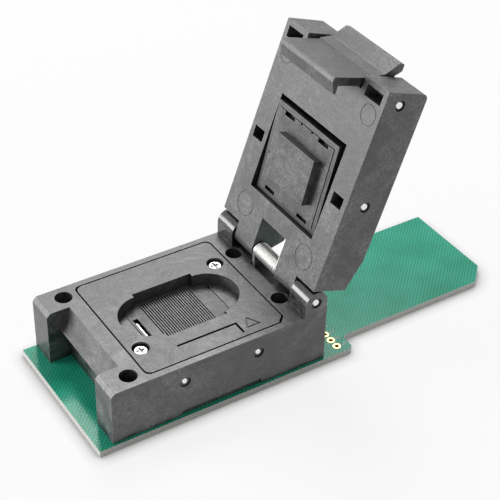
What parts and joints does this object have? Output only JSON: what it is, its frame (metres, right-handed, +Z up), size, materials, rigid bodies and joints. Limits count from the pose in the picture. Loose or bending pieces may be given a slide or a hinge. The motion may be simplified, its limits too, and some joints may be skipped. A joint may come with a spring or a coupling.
{
  "type": "bga test socket",
  "caption": "Clamshell test socket for a ball grid chip, on a board with a card edge: hinged latching lid, rocking pressure pad and sprung chip seat.",
  "frame": {"origin": "on the underside of the circuit board, below the middle of the chip seat", "axes": "+Y towards the hinge and the card edge, +Z up out of the chip seat, +X towards one long side"},
  "size_m": [0.0317, 0.0919, 0.058],
  "materials": {
    "board": "green solder mask over woven fibreglass, satin",
    "gold": "gold plating over copper",
    "housing": "dark grey glass-filled plastic, mottled",
    "lid": "dark grey glass-filled plastic, mottled",
    "latch": "dark grey glass-filled plastic, mottled",
    "cover": "dark grey glass-filled plastic, mottled",
    "seat": "dark grey moulded plastic",
    "carrier": "dark grey moulded plastic",
    "pressure": "dark grey moulded plastic",
    "insulator": "black moulded plastic",
    "contact_metal": "gold plated copper alloy strip",
    "pin": "ground steel",
    "screw": "plated steel",
    "spring": "bright spring wire"
  },
  "bodies": {
    "socket": {"circuit_board": "board", "card_contacts": "gold", "test_rings": "gold", "socket_base": "housing", "contact_block": "insulator", "contacts": "contact_metal", "seat_springs": "spring", "cover_plate": "cover", "cover_screw_front": "screw", "cover_screw_rear": "screw", "seat_pin_front": "pin", "seat_pin_rear": "pin", "hinge_pin": "pin", "hinge_spring": "spring"},
    "seat": {"seat_plate": "seat"},
    "lid": {"lid": "lid", "latch_pin": "pin", "pad_pin": "pin", "latch_springs": "spring"},
    "latch": {"latch": "latch"},
    "pad": {"pad_carrier": "carrier", "pressure_plate": "pressure"}
  },
  "joints": [
    {"name": "lid_hinge", "type": "hinge", "parent": "socket", "child": "lid", "pos_m": [0, 0.0202, 0.01555], "axis": [1, 0, 0], "range_deg": [0, 109.9], "stiffness_Nm_per_rad": 0.01, "springref_deg": -34.38, "deforming": ["hinge_spring"]},
    {"name": "latch_pivot", "type": "hinge", "parent": "lid", "child": "latch", "pos_m": [0, 0.03542, 0.05313], "axis": [-1, 0, 0], "range_deg": [0, 12], "stiffness_Nm_per_rad": 0.01, "springref_deg": -20.05, "deforming": ["latch_springs"]},
    {"name": "pad_rock", "type": "hinge", "parent": "lid", "child": "pad", "pos_m": [0, 0.02959, 0.03376], "axis": [1, 0, 0], "range_deg": [-9.2, 0]},
    {"name": "seat_float", "type": "slide", "parent": "socket", "child": "seat", "axis": [0, 0, 1], "range_m": [-0.0003, 0], "stiffness_N_per_m": 800, "springref_m": 0.001, "deforming": ["seat_springs"]}
  ]
}
